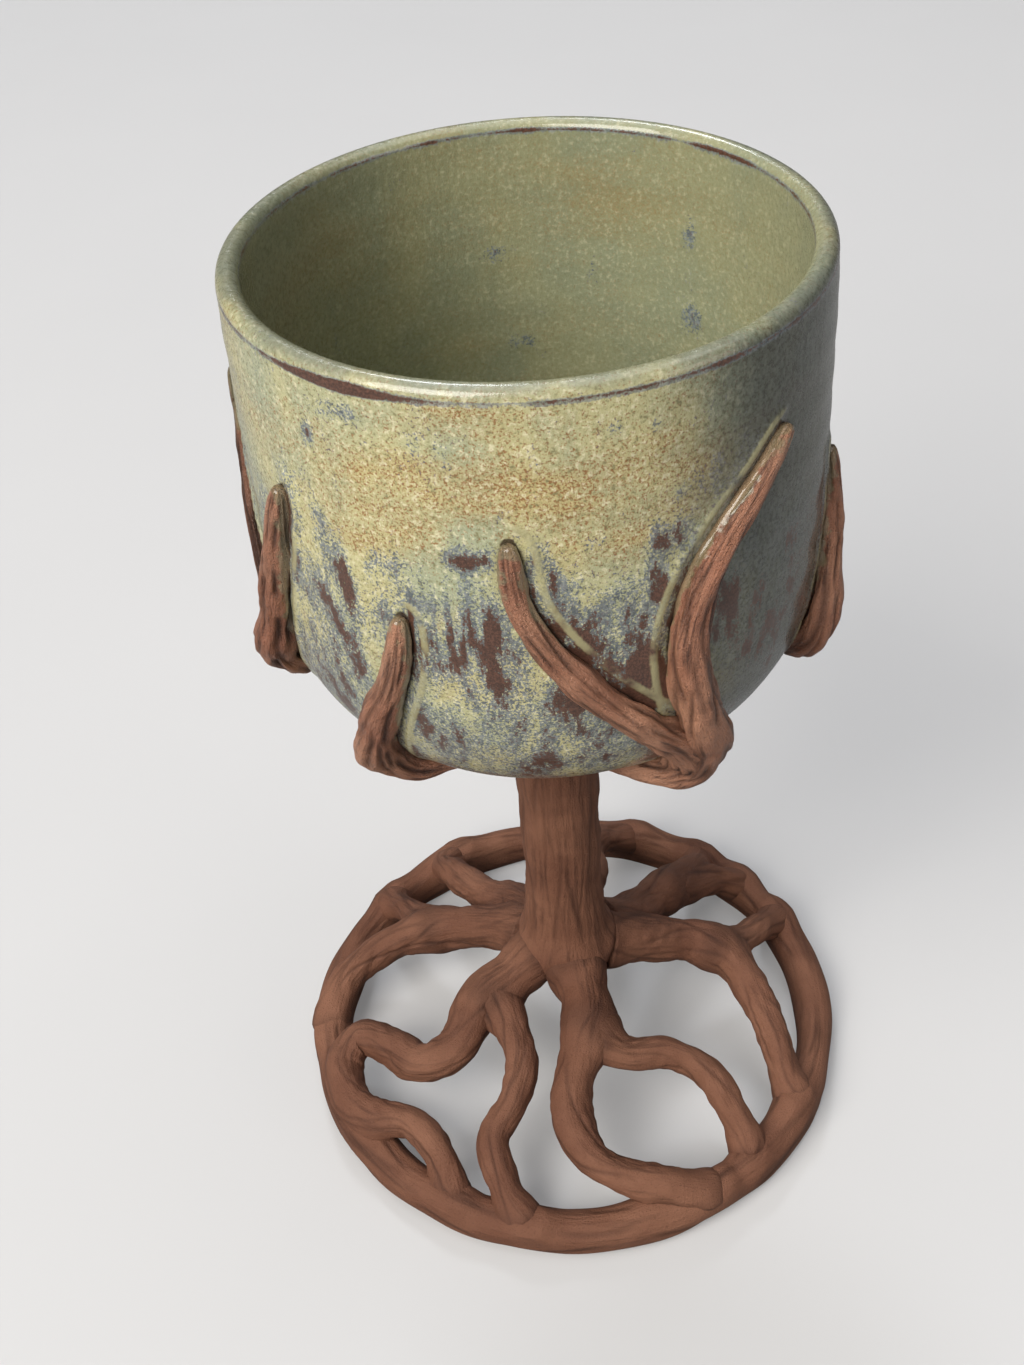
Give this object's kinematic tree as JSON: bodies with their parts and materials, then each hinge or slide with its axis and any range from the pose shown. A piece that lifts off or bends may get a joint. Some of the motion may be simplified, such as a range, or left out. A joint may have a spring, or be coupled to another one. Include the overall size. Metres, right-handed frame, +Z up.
{
  "type": "ceramic chalice",
  "caption": "Hand-built ceramic chalice: glazed thrown cup held in modelled clay branches on a tree-trunk stem, with spreading roots joined to a coiled foot ring.",
  "frame": {"origin": "centre of the foot ring on the plane it stands on, below the trunk axis", "axes": "+Z up along the trunk axis to the lip, -Y towards the side seen in the picture, +X to the right of that view"},
  "size_m": [0.1142, 0.1136, 0.1865],
  "materials": {
    "glaze": "glossy green speckled glaze",
    "bark_clay": "unglazed matte, carved bark",
    "root_clay": "unglazed matte",
    "branch_clay": "unglazed, partly glazed tips"
  },
  "bodies": {
    "root": {"cup": "glaze", "trunk": "bark_clay", "foot_ring": "root_clay", "root_front_left": "root_clay", "root_front_left_spur": "root_clay", "root_front_right": "root_clay", "root_front_right_spur": "root_clay", "root_right": "root_clay", "root_right_spur": "root_clay", "root_back_right_spur": "root_clay", "root_left_spur": "root_clay", "root_back_right": "root_clay", "root_back": "root_clay", "root_back_left": "root_clay", "root_left": "root_clay", "branch_left": "branch_clay", "branch_left_twig": "branch_clay", "branch_front_left": "branch_clay", "branch_right_front": "branch_clay", "branch_front": "branch_clay", "branch_right": "branch_clay", "branch_back_right": "branch_clay", "branch_back": "branch_clay", "branch_back_left": "branch_clay"}
  },
  "joints": []
}
